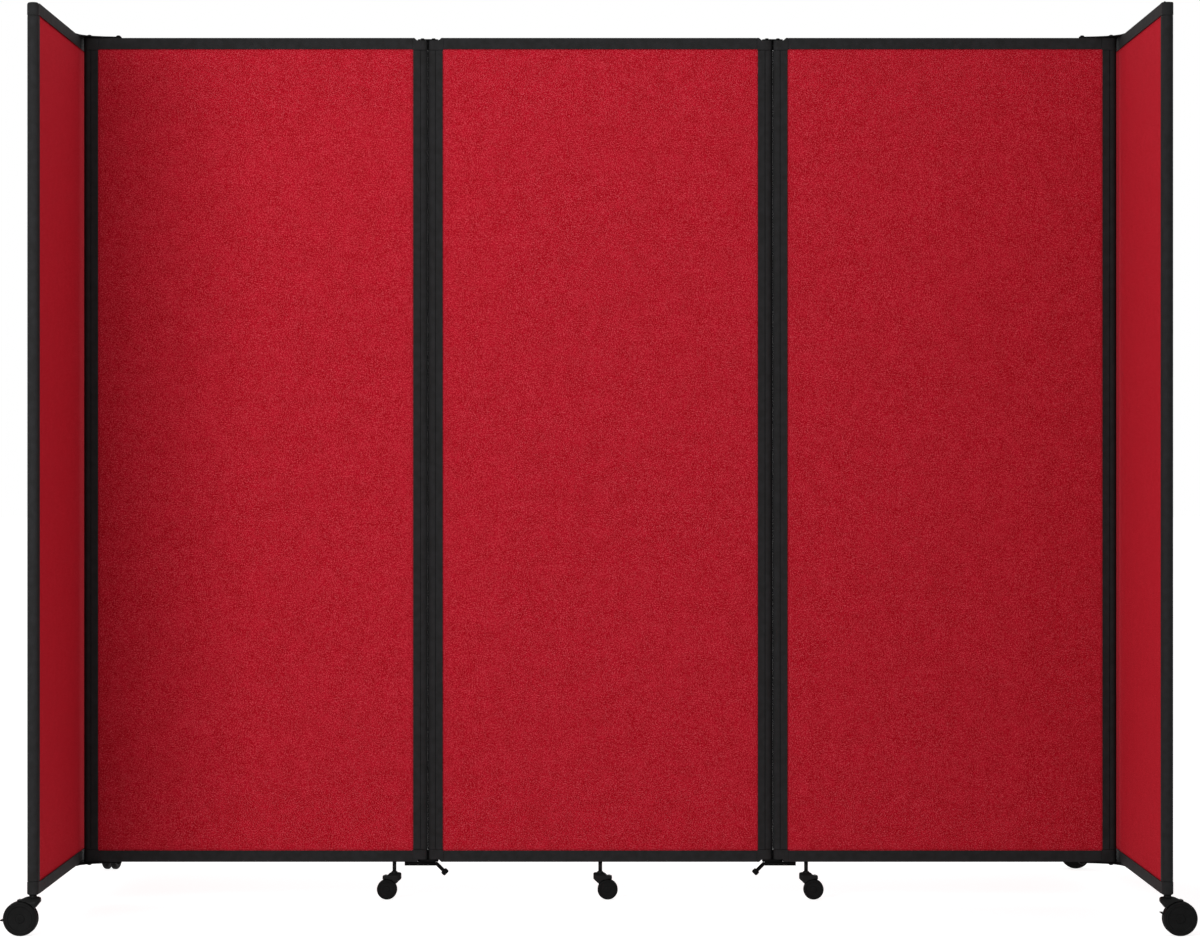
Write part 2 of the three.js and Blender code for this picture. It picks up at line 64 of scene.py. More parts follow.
# Light
SKY_STRENGTH = 0.54
KEY_WATTS = 118
KEY_WIDTH = 1.7
KEY_HEIGHT = 2.0
KEY_PLACE = (-2.15, -4.4, 1.9)
KEY_AIM = (-0.3, 0, 1.05)
TOP_WATTS = 8
TOP_SIZE = 0.9
TOP_PLACE = (-0.2, -1.6, 3.1)
TOP_AIM = (-0.3, 0, 1.9)
REAR_WATTS = 36
REAR_SIZE = 1.6
REAR_PLACE = (0, 3.4, 2.0)
REAR_AIM = (0, 0, 1.1)
FLOOR_SIZE = 160
FLOOR_BASE = 0.8
FLOOR_ROUGHNESS = 0.9
FLOOR_LIT = 0.5
FLOOR_GLOW = 0.8

# Surfaces: colours in sRGB from 0 to 255, each after its place in the noise that picks it
FLECK_SCALE = 420
FLECK_REDS = ((0.34, (120, 0, 6)), (0.5, (166, 9, 28)), (0.66, (203, 82, 92)))
PATCH_SCALES = (95, 30)
PATCH_REDS = ((0.4, (150, 6, 23)), (0.6, (184, 23, 46)))
BLEND_SCALE = 260
BLEND_SHARES = ((0.4, 0.15), (0.6, 0.4))
THREAD_FINE = 700
THREAD_LONG = 160
THREAD_STRENGTH = 0.6
THREAD_HEIGHT = 0.0003
FABRIC_ROUGHNESS = 0.95
FABRIC_SPECULAR = 0.05
SHEEN_WEIGHT = 0.6
SHEEN_ROUGHNESS = 0.4
SHEEN_TINT = (205, 32, 48)
FRAME_SHADE_SCALE = 60
FRAME_GREYS = ((0.35, (34, 34, 34)), (0.65, (39, 39, 40)))
SCUFF_SCALE = (90, 90, 12)
FRAME_ROUGHNESS = ((0.3, 0.66), (0.75, 0.8))
PEEL_SCALE = 1400
PEEL_STRENGTH = 0.25
FRAME_SPECULAR = 0.04
SHADE_COARSER = 12
WEAR_COARSER = 25
WEAR_RANGE = 0.12
DARK_PLACES = (0.3, 0.7)
GRAIN_STRENGTH = 0.2
GRAIN_HEIGHT = 0.0002

# Fabric panels
FABRIC_CELL = 0.02
FABRIC_EDGE_DIP = 0.0012
FABRIC_EDGE_REACH = 0.006
FABRIC_EDGE_SHARES = (0.2, 0.4, 0.7, 1)
FABRIC_UNEVENNESS = 0.00015
UNEVENNESS_SIZE = 0.16
GROOVE_DEPTH = 0.008

# Frame sections
NOSE_RADIUS = 0.0127
CAP_RADIUS = 0.0132
NOSE_FACETS = 6
NOSE_STEPS = 24
NOSE_SLACK = 0.00003
CAP_HEIGHT = 0.029
CAP_RECESS = 0.0061
CAP_ROUND_TOP = 0.0058
CAP_ROUND_FOOT = 0.0038
SLOPE_TOP = 0.024
SLOPE_TOP_SEEN = 0.0194
SLOPE_FOOT = 0.0124
CAP_ROUND_SEGMENTS = 5
PART_LINE_WIDTH = 0.0018
PART_LINE_DEPTH = 0.0013
SEAM_PLACE = 0.0175
SEAM_HALF = 0.0006
SEAM_FLOOR = 0.0121
SEAM_SPREAD = 0.0003
SEAM_DEPTH = 0.0016
COLLAR_ROOM = 0.0089
SEAL_LIP = 0.00026

# Hinge links, corner plates and corner pins
LINK_RADIUS = 0.0121
LINK_THICKNESS = 0.003
LINK_HEAD_RADIUS = 0.0043
LINK_SPACING = 0.027
LINK_HEAD_HEIGHT = 0.0027
PAD_INSET = 0.0003
PAD_STEPS = 24
WEB_HALF = 0.00024
WEB_REACH = 0.011
PLATE_THICKNESS = 0.0033
PLATE_PANEL_REACH = 0.0706
PLATE_WING_REACH = 0.091
WING_OFFSET = 0.03
SCREW_RADIUS = 0.0065
SCREW_HEIGHT = 0.0025
SCREW_RADIUS_SEEN = 0.0058
SCREW_HEIGHT_SEEN = 0.0037
SCREW_SIDE = 0.1
DOME_ANGLES = (8, 24, 40, 55, 66)
SOCKET_CURVE = ((0.4, 0.97), (0.36, 0.92), (0.34, 0.3), (0, 0.25))
ROWS_BEFORE_SOCKET = 3 + len(DOME_ANGLES)
RIVET_CURVE = ((1, 0.72), (0.93, 0.9), (0.8, 1), (0, 1))
SUNK_PARTS = 3
CORNER_PIN_RADIUS = 0.0045
CORNER_PIN_COLLAR = 1.5
FIT_GAP = 0.0003
CUT_SLACK = 0.00002

# Lock levers
LEVER_THICKNESS = 0.009
LEVER_SIDE_SHARE = 0.445
LEVER_BAR_DEPTH = 0.0094
LEVER_CHAMFER_SHARE = 0.15
LEVER_END_SHARE = 0.4
LEVER_TAIL = 0.012
LEVER_PIVOT_PLACE = 0.045
LEVER_REACH = 0.021
LEVER_DROP = 0.02
LEVER_ROD_RADIUS = 0.0045
LEVER_KNOB_RADIUS = 0.009
LEVER_KNOB_LENGTH = 0.012
LEVER_PIN_RADIUS = 0.0035
LEVER_PIN_LENGTH = 0.014
ROD_CURVE = ((0, -0.8), (0.7, -0.7), (1, -0.2))
KNOB_CURVE = (
    (0, -1), (0.7, -1), (0.92, -0.8), (1, -0.4), (1, 0.5), (0.9, 0.88), (0.7, 1), (0, 1),
)
KNOB_LOBES = 4
KNOB_WAIST = 0.93
KNOB_LOBE_DEPTH = 0.07

# Wheels
WHEEL_STEPS = 96
WHEEL_SHOULDER = 0.48
WHEEL_CURVE_STEPS = 6
WHEEL_LINE_INSET = 0.0008
TREAD_CURVE = ((1, 0), (0.35, 0.3), (0.06, 0.85))
TREAD_FLAT = 0.3
RIM_LINE = ((0, 0), (0.0003, 0.0006), (0.0008, 0.0006), (0.0011, 0.0002))
RIM_STEP = 0.0002
HUB_FACE = ((2.6, 1.15), (2.4, 0.55), (2.1, 0.4), (0.9, 0.35), (0.8, 0.6), (0, 0.6))
LARGE_WHEEL = {
    "width": 0.014,
    "gap": 0.01,
    "tread": 0.0024,
    "dish": 0.0022,
    "rim": 0.0055,
    "axle": 0.004,
    "crown": 0.0048,
}
SMALL_WHEEL = {
    "width": 0.01,
    "gap": 0.0076,
    "tread": 0.0018,
    "dish": 0.0016,
    "rim": 0.0036,
    "axle": 0.003,
    "crown": 0.0028,
}

# Caster heads
TAIL_LIFT = 0.003
TAIL_START = 0.95
TAIL_RUN = 0.3
TAIL_LOW = 0.6
TAIL_HIGH = 0.95
LARGE_AXLE_HEIGHT = 0.0389
NECK_SMALL = 0.024
NECK_LARGE = 0.007
SMALL_STEM_RADIUS = 0.00475
LARGE_COLLAR_RADIUS = 0.0086

# Bevels, smooth edges and mouldings
BEVEL_SEGMENTS = 2
BEVEL_PROFILE = 0.5
FRAME_BEVEL = 0.0006
STEEL_BEVEL = 0.0005
SEAL_BEVEL = 0.0002
BRAKE_BEVEL = 0.0004
SMOOTH_ANGLE = math.radians(40)
BEVEL_ANGLE = math.radians(32)
FLAT_ANGLE = math.radians(1)
WHEEL_ANGLE = math.radians(25)
FABRIC_ANGLE = math.radians(60)
MOULD_VOXEL = 0.0008
MOULD_SMOOTHING = 5
MOULD_EASE = 0.5

# How fine a round is, and how near counts as the same
HEAD_STEPS = 48
PIN_STEPS = 32
LEVER_PIN_STEPS = 24
SAME_POINT = 1e-6
ON_PLANE = 1e-7


def srgb(*channels):
    """Linear colour of an sRGB one in 0 to 255."""
    def linear(value):
        share = value / 255
        return share / 12.92 if share <= 0.04045 else ((share + 0.055) / 1.055) ** 2.4
    return (*[linear(value) for value in channels], 1)


def coloured(rows):
    """The stops of a ramp from rows of a place and an sRGB colour."""
    return [(place, srgb(*colour)) for place, colour in rows]


def greys(rows):
    """The stops of a ramp from rows of a place and a grey value."""
    return [(place, (grey, grey, grey, 1)) for place, grey in rows]


def new_material(name):
    """A material with its shader and a place for nodes."""
    material = bpy.data.materials.new(name)
    material.use_nodes = True
    shader = material.node_tree.nodes["Principled BSDF"]
    return material, material.node_tree, shader


def add_node(tree, kind, **values):
    """A node with some of its inputs set by name."""
    node = tree.nodes.new(kind)
    for name, value in values.items():
        node.inputs[name.replace("_", " ")].default_value = value
    return node


def noise(tree, coordinates, scale, detail=2, roughness=0.5):
    """A noise texture, its output the grey value."""
    node = add_node(tree, "ShaderNodeTexNoise", Scale=scale, Detail=detail, Roughness=roughness)
    tree.links.new(coordinates, node.inputs["Vector"])
    return node.outputs["Fac"]


def stretched(tree, coordinates, scale):
    """Coordinates scaled by axis."""
    node = add_node(tree, "ShaderNodeMapping", Scale=scale)
    tree.links.new(coordinates, node.inputs["Vector"])
    return node.outputs["Vector"]


def ramp(tree, value, stops):
    """A colour ramp over a grey value."""
    node = tree.nodes.new("ShaderNodeValToRGB")
    tree.links.new(value, node.inputs["Fac"])
    elements = node.color_ramp.elements
    while len(elements) < len(stops):
        elements.new(0.5)
    for element, (position, colour) in zip(elements, stops):
        element.position = position
        element.color = colour
    return node.outputs["Color"]


def math_node(tree, operation, first, second):
    """A sum or product of two values, either of which may be a number."""
    node = tree.nodes.new("ShaderNodeMath")
    node.operation = operation
    for socket, value in zip(node.inputs, (first, second)):
        if isinstance(value, (int, float)):
            socket.default_value = value
        else:
            tree.links.new(value, socket)
    return node.outputs["Value"]


def mixed(tree, share, first, second):
    """A mix of two colours by a grey value."""
    node = tree.nodes.new("ShaderNodeMix")
    node.data_type = "RGBA"
    tree.links.new(share, node.inputs["Factor"])
    tree.links.new(first, node.inputs["A"])
    tree.links.new(second, node.inputs["B"])
    return node.outputs["Result"]


def object_coordinates(tree):
    """The coordinates of the object itself."""
    return tree.nodes.new("ShaderNodeTexCoord").outputs["Object"]


def bump(tree, shader, height, strength, distance):
    """A bump of a grey value on the shader."""
    node = add_node(tree, "ShaderNodeBump", Strength=strength, Distance=distance)
    tree.links.new(height, node.inputs["Height"])
    tree.links.new(node.outputs["Normal"], shader.inputs["Normal"])


def fabric_material():
    """Felted polyester weave, flecked in several reds."""
    material, tree, shader = new_material("fabric_red")
    place = object_coordinates(tree)
    flecks = noise(tree, place, FLECK_SCALE, 3, 0.7)
    fine, broad = (noise(tree, place, scale, 2, 0.5) for scale in PATCH_SCALES)
    patches = math_node(tree, "MULTIPLY", math_node(tree, "ADD", fine, broad), 0.5)
    fleck_colour = ramp(tree, flecks, coloured(FLECK_REDS))
    patch_colour = ramp(tree, patches, coloured(PATCH_REDS))
    share = ramp(tree, noise(tree, place, BLEND_SCALE, 2), greys(BLEND_SHARES))
    tree.links.new(mixed(tree, share, fleck_colour, patch_colour), shader.inputs["Base Color"])
    upright, level = (
        noise(tree, stretched(tree, place, (across, across, along)), 1, 2, 0.6)
        for across, along in ((THREAD_FINE, THREAD_LONG), (THREAD_LONG, THREAD_FINE))
    )
    bump(tree, shader, math_node(tree, "ADD", upright, level), THREAD_STRENGTH, THREAD_HEIGHT)
    shader.inputs["Roughness"].default_value = FABRIC_ROUGHNESS
    shader.inputs["Specular IOR Level"].default_value = FABRIC_SPECULAR
    shader.inputs["Sheen Weight"].default_value = SHEEN_WEIGHT
    shader.inputs["Sheen Roughness"].default_value = SHEEN_ROUGHNESS
    shader.inputs["Sheen Tint"].default_value = srgb(*SHEEN_TINT)
    return material


def frame_material():
    """Charcoal powder coat with a fine orange peel and faint scuffs."""
    material, tree, shader = new_material("frame_charcoal")
    place = object_coordinates(tree)
    shade = ramp(tree, noise(tree, place, FRAME_SHADE_SCALE, 3), coloured(FRAME_GREYS))
    tree.links.new(shade, shader.inputs["Base Color"])
    scuffs = noise(tree, stretched(tree, place, SCUFF_SCALE), 1, 4, 0.7)
    tree.links.new(ramp(tree, scuffs, greys(FRAME_ROUGHNESS)), shader.inputs["Roughness"])
    bump(tree, shader, noise(tree, place, PEEL_SCALE, 2), PEEL_STRENGTH, GRAIN_HEIGHT)
    shader.inputs["Specular IOR Level"].default_value = FRAME_SPECULAR
    return material


def dark_material(name, low, high, roughness, grain, specular):
    """A black moulded or coated surface with a fine grain."""
    material, tree, shader = new_material(name)
    place = object_coordinates(tree)
    shades = coloured(zip(DARK_PLACES, (low, high)))
    shade = ramp(tree, noise(tree, place, grain / SHADE_COARSER, 3), shades)
    tree.links.new(shade, shader.inputs["Base Color"])
    wear = greys(zip(DARK_PLACES, (roughness, roughness + WEAR_RANGE)))
    worn = ramp(tree, noise(tree, place, grain / WEAR_COARSER, 4, 0.65), wear)
    tree.links.new(worn, shader.inputs["Roughness"])
    bump(tree, shader, noise(tree, place, grain, 2), GRAIN_STRENGTH, GRAIN_HEIGHT)
    shader.inputs["Specular IOR Level"].default_value = specular
    return material


materials = {
    "fabric": fabric_material(),
    "frame": frame_material(),
    "black_steel": dark_material("black_steel", (3, 3, 3), (6, 6, 6), 0.5, 1500, 0.05),
    "caster_nylon": dark_material("caster_nylon", (9, 9, 9), (13, 13, 13), 0.42, 1200, 0.1),
    "wheels": dark_material("wheel_rubber", (13, 13, 13), (18, 18, 18), 0.6, 900, 0.07),
    "seal_rubber": dark_material("seal_rubber", (6, 6, 6), (9, 9, 9), 0.7, 1100, 0.1),
}
bevels = {"frame": FRAME_BEVEL, "seal_rubber": SEAL_BEVEL, "caster_nylon": BRAKE_BEVEL}


def smooth_by_angle(mesh, angle=SMOOTH_ANGLE):
    """Smooth shading, with edges sharper than the angle kept sharp."""
    body = bmesh.new()
    body.from_mesh(mesh)
    for face in body.faces:
        face.smooth = True
    for edge in body.edges:
        edge.smooth = len(edge.link_faces) == 2 and edge.calc_face_angle(0) < angle
    body.to_mesh(mesh)
    body.free()


def new_object(name, mesh, slot):
    """An object of a mesh, with its finish, in the scene."""
    piece = bpy.data.objects.new(name, mesh)
    bpy.context.scene.collection.objects.link(piece)
    mesh.materials.clear()
    mesh.materials.append(materials[slot])
    return piece


def from_shells(name, shells, slot, angle=SMOOTH_ANGLE):
    """An object of one or more closed shells, each its points and faces."""
    points, faces = [], []
    for shell_points, shell_faces in shells:
        first = len(points)
        points.extend(shell_points)
        faces.extend([[first + index for index in face] for face in shell_faces])
    mesh = bpy.data.meshes.new(name)
    mesh.from_pydata([tuple(point) for point in points], [], faces)
    body = bmesh.new()
    body.from_mesh(mesh)
    bmesh.ops.recalc_face_normals(body, faces=body.faces)
    body.to_mesh(mesh)
    body.free()
    smooth_by_angle(mesh, angle)
    return new_object(name, mesh, slot)


def basis(axis):
    """Two directions square to an axis."""
    axis = Vector(axis).normalized()
    side = axis.orthogonal().normalized()
    return side, axis.cross(side).normalized(), axis


def turned(profile, origin, axis, steps=HEAD_STEPS, outline=None):
    """A profile of radius and height turned about an axis, with an outline by row and angle."""
    side, other, along = basis(axis)
    points, faces, rows = [], [], []
    for level, (radius, height) in enumerate(profile):
        if radius == 0:
            rows.append([len(points)] * steps)
            points.append(Vector(origin) + along * height)
            continue
        rows.append(list(range(len(points), len(points) + steps)))
        for step in range(steps):
            angle = math.tau * step / steps
            reach = radius * (outline(level, angle) if outline else 1)
            points.append(
                Vector(origin)
                + side * reach * math.cos(angle)
                + other * reach * math.sin(angle)
                + along * height
            )
    for low, high in zip(rows, rows[1:]):
        for step in range(steps):
            corners = [low[step], low[(step + 1) % steps], high[(step + 1) % steps], high[step]]
            face = list(dict.fromkeys(corners))
            if len(face) > 2:
                faces.append(face)
    return points, faces


def prism(outline, origin, across, up, along, low, high, edge):
    """An outline of across and up values drawn along a direction, with chamfered ends."""
    across, up, along = Vector(across), Vector(up), Vector(along)
    middle = [sum(values) / len(outline) for values in zip(*outline)]
    rows, points = [], []
    for inset, height in ((edge, low), (0, low + edge), (0, high - edge), (edge, high)):
        rows.append(list(range(len(points), len(points) + len(outline))))
        for x, y in outline:
            away = Vector((x - middle[0], y - middle[1]))
            share = 1 - inset / away.length
            place = Vector(origin) + along * height
            sideways = across * (middle[0] + away.x * share)
            points.append(place + sideways + up * (middle[1] + away.y * share))
    faces = [rows[0][::-1], rows[-1]]
    count = len(outline)
    for first, second in zip(rows, rows[1:]):
        for step in range(count):
            after = (step + 1) % count
            faces.append([first[step], first[after], second[after], second[step]])
    return points, faces


def stand_for(piece, node, body):
    """A piece takes a CAD node's place, on its body, with its finish."""
    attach(piece, body)
    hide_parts(node)


def node_body(node):
    """A copy of a CAD node's mesh, with its points merged."""
    body = bmesh.new()
    body.from_mesh(frame["nodes"][node].data)
    bmesh.ops.remove_doubles(body, verts=body.verts, dist=SAME_POINT)
    return body


def sliced(body, place, normal, clear=False):
    """A body cut along a plane, with what lies beyond it kept or cleared away."""
    return bmesh.ops.bisect_plane(
        body,
        geom=body.verts[:] + body.edges[:] + body.faces[:],
        plane_co=place,
        plane_no=normal,
        clear_outer=clear,
        dist=ON_PLANE,
    )


def flattened(body):
    """A body with its coplanar faces joined, its normals renewed in case points have moved."""
    body.normal_update()
    bmesh.ops.dissolve_limit(body, angle_limit=FLAT_ANGLE, verts=body.verts, edges=body.edges)


def bevelled(body, edges, width, segments):
    """A body with some of its edges rounded."""
    bmesh.ops.bevel(
        body,
        geom=edges,
        offset=width,
        offset_type="OFFSET",
        segments=segments,
        profile=BEVEL_PROFILE,
        affect="EDGES",
        clamp_overlap=True,
    )


def is_sharp(edge):
    """Whether an edge is one that a bevel rounds."""
    return len(edge.link_faces) == 2 and edge.calc_face_angle(0) > BEVEL_ANGLE


def finished(body, name, slot, width):
    """Clean flat faces and rounded edges for a mesh, as an object."""
    flattened(body)
    bevelled(body, [edge for edge in body.edges if is_sharp(edge)], width, BEVEL_SEGMENTS)
    mesh = bpy.data.meshes.new(name)
    body.to_mesh(mesh)
    body.free()
    smooth_by_angle(mesh)
    piece = new_object(name, mesh, slot)
    flat = piece.modifiers.new("flat", "WEIGHTED_NORMAL")
    flat.keep_sharp = True
    return piece


def refined(node, slot):
    """A CAD node's form with clean flat faces and rounded edges."""
    return finished(node_body(node), f"{node}_fine", slot, bevels[slot])


def sealing_strip(node, slot):
    """The strip in a hinge, its lip drawn out to just short of the neighbour's nose."""
    low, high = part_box(node)
    body = node_body(node)
    inner, tip = (low.x, high.x) if (low.x + high.x) > 0 else (high.x, low.x)
    for point in body.verts:
        share = (point.co.x - inner) / (tip - inner)
        point.co.x += math.copysign(SEAL_LIP, tip - inner) * share
    return finished(body, f"{node}_fine", slot, bevels[slot])


def rounded_stile(node, slot):
    """A stile and its caps, with the nose turned to a true round."""
    low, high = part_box(node)
    size = high - low
    along = Vector((1, 0, 0)) if size.x > size.y else Vector((0, 1, 0))
    middle = (low + high) / 2
    inward = 1 if middle.dot(along) < panel_middle(node, along) else -1
    tip = (low if inward > 0 else high).dot(along)
    pivot = middle - along * middle.dot(along) + along * (tip + inward * CAP_RADIUS)
    across = Vector((-along.y, along.x, 0))
    body = node_body(node)
    reshape_caps(body, node, low, high, pivot, along * inward)
    for step in range(1, NOSE_STEPS):
        if step % (NOSE_STEPS // NOSE_FACETS) == 0:
            continue
        angle = math.pi * step / NOSE_STEPS
        normal = along * math.sin(angle) + across * math.cos(angle)
        sliced(body, pivot, normal)
    flat = math.cos(math.pi / NOSE_FACETS / 2)
    for point in body.verts:
        away = point.co - pivot
        away.z = 0
        if away.dot(along) * inward > NOSE_SLACK:
            continue
        for radius in (NOSE_RADIUS, CAP_RADIUS):
            if radius * flat - NOSE_SLACK < away.length < radius + NOSE_SLACK:
                point.co += away * (radius / away.length - 1)
                break
    if "_wing_" in node:
        body = rounded_caps(with_collar_room(body, low, pivot), low, high, pivot, along * inward)
    cut_part_lines(body, low, high, pivot, along * inward)
    deepen_seams(body, pivot, along * inward)
    return finished(body, f"{node}_fine", slot, bevels[slot])


def reshape_caps(body, node, low, high, pivot, inward):
    """A stile's caps at their ends: full height on a wing, a steep side to the step at a hinge."""
    for point in body.verts:
        place = (point.co - pivot).dot(inward)
        top = abs(point.co.z - high.z) < NOSE_SLACK
        foot = abs(point.co.z - low.z) < NOSE_SLACK
        if "_wing_" in node:
            if abs(point.co.z - (high.z - CAP_RECESS)) < NOSE_SLACK:
                point.co.z = high.z
            elif abs(point.co.z - (low.z + CAP_RECESS)) < NOSE_SLACK:
                point.co.z = low.z
        elif (top or foot) and abs(place - SLOPE_TOP) < NOSE_SLACK:
            steep = foot and not node.startswith("centre")
            point.co += inward * ((SLOPE_FOOT if steep else SLOPE_TOP_SEEN) - place)


def rounded_caps(body, low, high, pivot, inward):
    """The rims of a wing's caps, rounded over."""
    flattened(body)
    rims = {CAP_ROUND_TOP: [], CAP_ROUND_FOOT: []}
    for edge in body.edges:
        first, second = (point.co for point in edge.verts)
        at_foot = max(first.z, second.z) < low.z + NOSE_SLACK
        at_top = min(first.z, second.z) > high.z - NOSE_SLACK
        place = ((first + second) / 2 - pivot).dot(inward)
        away = min((point - pivot).xy.length for point in (first, second))
        clear = place < SLOPE_TOP and away > COLLAR_ROOM + FIT_GAP
        if (at_foot or at_top) and clear and edge.calc_face_angle(0) > BEVEL_ANGLE:
            rims[CAP_ROUND_TOP if first.z > pivot.z else CAP_ROUND_FOOT].append(edge)
    for width, edges in rims.items():
        bevelled(body, edges, width, CAP_ROUND_SEGMENTS)
    return body


def with_collar_room(body, low, pivot):
    """A wing's stile with room in its foot for the collar of its caster."""
    room = [(0, 0), (COLLAR_ROOM, 0), (COLLAR_ROOM, 2 * CAP_RECESS), (0, 2 * CAP_RECESS)]
    shell = turned(room, (pivot.x, pivot.y, low.z - CAP_RECESS), (0, 0, 1))
    cutter = from_shells("room", [shell], "frame")
    mesh = bpy.data.meshes.new("whole")
    body.to_mesh(mesh)
    body.free()
    whole = new_object("whole", mesh, "frame")
    cut = whole.modifiers.new("cut", "BOOLEAN")
    cut.operation = "DIFFERENCE"
    cut.solver = "EXACT"
    cut.object = cutter
    evaluated = whole.evaluated_get(bpy.context.evaluated_depsgraph_get())
    result = bpy.data.meshes.new_from_object(evaluated)
    for piece in (whole, cutter):
        bpy.data.objects.remove(piece)
    body = bmesh.new()
    body.from_mesh(result)
    bmesh.ops.remove_doubles(body, verts=body.verts, dist=SAME_POINT)
    bpy.data.meshes.remove(result)
    return body


def cut_part_lines(body, low, high, pivot, inward):
    """A fine groove round the stile where each of its caps begins."""
    across = Vector((-inward.y, inward.x, 0))
    for edge, way in ((high.z - CAP_HEIGHT, -1), (low.z + CAP_HEIGHT, 1)):
        floor = edge + way * PART_LINE_WIDTH / 2
        for height in (floor, edge + way * PART_LINE_WIDTH):
            sliced(body, (0, 0, height), (0, 0, 1))
        for point in body.verts:
            if abs(point.co.z - floor) > SAME_POINT:
                continue
            away = point.co - pivot
            away.z = 0
            if away.dot(inward) < NOSE_SLACK:
                if away.length > NOSE_RADIUS - NOSE_SLACK:
                    point.co -= away.normalized() * PART_LINE_DEPTH
            elif abs(away.dot(across)) > NOSE_RADIUS - NOSE_SLACK:
                point.co -= across * math.copysign(PART_LINE_DEPTH, away.dot(across))


def deepen_seams(body, pivot, inward):
    """The seam along both faces of the stile, a little wider and deeper than the CAD cuts it."""
    across = Vector((-inward.y, inward.x, 0))
    for point in body.verts:
        away = point.co - pivot
        place = away.dot(inward) + NOSE_RADIUS - SEAM_PLACE
        side = away.dot(across)
        if abs(abs(place) - SEAM_HALF) > NOSE_SLACK or abs(side) < SEAM_FLOOR - NOSE_SLACK:
            continue
        point.co += inward * math.copysign(SEAM_SPREAD, place)
        if abs(side) < SEAM_FLOOR + NOSE_SLACK:
            point.co -= across * math.copysign(SEAM_DEPTH - (NOSE_RADIUS - SEAM_FLOOR), side)


def panel_middle(node, along):
    """The middle of the panel that a stile belongs to, along the panel."""
    low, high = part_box(node.rsplit("_", 2)[0] + "_fabric_board")
    return ((low + high) / 2).dot(along)


def without_heads(node, low, high):
    """A CAD node's mesh with what stands above or below its plate cut away."""
    body = node_body(node)
    for height, way in ((low + CUT_SLACK, -1), (high - CUT_SLACK, 1)):
        cut = sliced(body, (0, 0, height), (0, 0, way), clear=True)
        edges = [item for item in cut["geom_cut"] if isinstance(item, bmesh.types.BMEdge)]
        bmesh.ops.triangle_fill(body, edges=edges, use_beauty=True)
    return body


def hexagon(level, angle):
    """The outline of a socket: a hexagon in its inner rows, round outside."""
    if level < ROWS_BEFORE_SOCKET:
        return 1
    part = (angle + math.pi / 6) % (math.pi / 3) - math.pi / 6
    return math.cos(math.pi / 6) / math.cos(part)


def screw_head(origin, way, radius, height):
    """A domed head that stands on a plate, with a socket in its crown."""
    sunk = -height / SUNK_PARTS
    rise = 1 - SCREW_SIDE
    profile = [(0, sunk), (radius, sunk), (radius, height * SCREW_SIDE)]
    for angle in DOME_ANGLES:
        across, up = math.cos(math.radians(angle)), math.sin(math.radians(angle))
        profile.append((radius * (SCREW_SIDE + rise * across), height * (SCREW_SIDE + rise * up)))
    profile += [(radius * across, height * up) for across, up in SOCKET_CURVE]
    return turned(profile, origin, (0, 0, way), outline=hexagon)


def rivet_head(origin, way, radius, height):
    """A flat-topped pin head with a chamfered rim."""
    sunk = -height / SUNK_PARTS
    profile = [(0, sunk), (radius, sunk)]
    profile += [(radius * across, height * up) for across, up in RIVET_CURVE]
    return turned(profile, origin, (0, 0, way))


def link_pad(node, places, low, high):
    """The thick black foot of a bottom hinge link, flush with the frame's underside."""
    start, end = (Vector((x, y, 0)) for x, y in places)
    along = (end - start).normalized()
    across = Vector((-along.y, along.x, 0))
    radius = LINK_RADIUS - PAD_INSET
    outline = []
    for centre, first in ((LINK_SPACING, -90), (0, 90)):
        for step in range(PAD_STEPS + 1):
            angle = math.radians(first + 180 * step / PAD_STEPS)
            outline.append((centre + radius * math.cos(angle), radius * math.sin(angle)))
    shell = prism(outline, start, along, across, (0, 0, 1), low, high, STEEL_BEVEL)
    return from_shells(f"{node}_pad", [shell], "black_steel")


def eased(value):
    """A share that starts and ends gently."""
    value = min(1, max(0, value))
    return value * value * (3 - 2 * value)


def moulded(node, slot):
    """A caster head with soft edges, its tail proud of the wheels, and a true round neck."""
    source = new_object("mould", frame["nodes"][node].data.copy(), slot)
    remesh = source.modifiers.new("remesh", "REMESH")
    remesh.mode = "VOXEL"
    remesh.voxel_size = MOULD_VOXEL
    evaluated = source.evaluated_get(bpy.context.evaluated_depsgraph_get())
    mesh = bpy.data.meshes.new_from_object(evaluated)
    bpy.data.objects.remove(source)
    body = bmesh.new()
    body.from_mesh(mesh)
    for _ in range(MOULD_SMOOTHING):
        bmesh.ops.smooth_vert(
            body,
            verts=body.verts,
            factor=MOULD_EASE,
            use_axis_x=True,
            use_axis_y=True,
            use_axis_z=True,
        )
    caster = node.removesuffix("_head")
    swivel, roll = joint_place(f"{caster}_swivel"), joint_place(f"{caster}_roll")
    trail = roll - swivel
    trail.z = 0
    for point in body.verts:
        behind = (point.co - swivel).dot(trail) / trail.length_squared
        level = (point.co.z - roll.z) / roll.z
        share = eased((behind - TAIL_START) / TAIL_RUN)
        share *= eased((level - TAIL_LOW) / (TAIL_HIGH - TAIL_LOW))
        point.co.z += TAIL_LIFT * share * roll.z / LARGE_AXLE_HEIGHT
    for face in body.faces:
        face.smooth = True
    small = node.startswith("row")
    radius = SMALL_STEM_RADIUS if small else LARGE_COLLAR_RADIUS
    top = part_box("centre_panel_bottom_rail")[0].z - (0 if small else FIT_GAP)
    foot = top - (NECK_SMALL if small else NECK_LARGE)
    neck = [(0, 0), (radius, 0), (radius, top - foot), (0, top - foot)]
    points, faces = turned(neck, (swivel.x, swivel.y, foot), (0, 0, 1))
    added = [body.verts.new(point) for point in points]
    for face in faces:
        corners = [added[index] for index in face]
        body.faces.new(corners).smooth = len(corners) == 4
    body.normal_update()
    body.to_mesh(mesh)
    body.free()
    mesh.name = f"{node}_fine"
    return new_object(f"{node}_fine", mesh, slot)


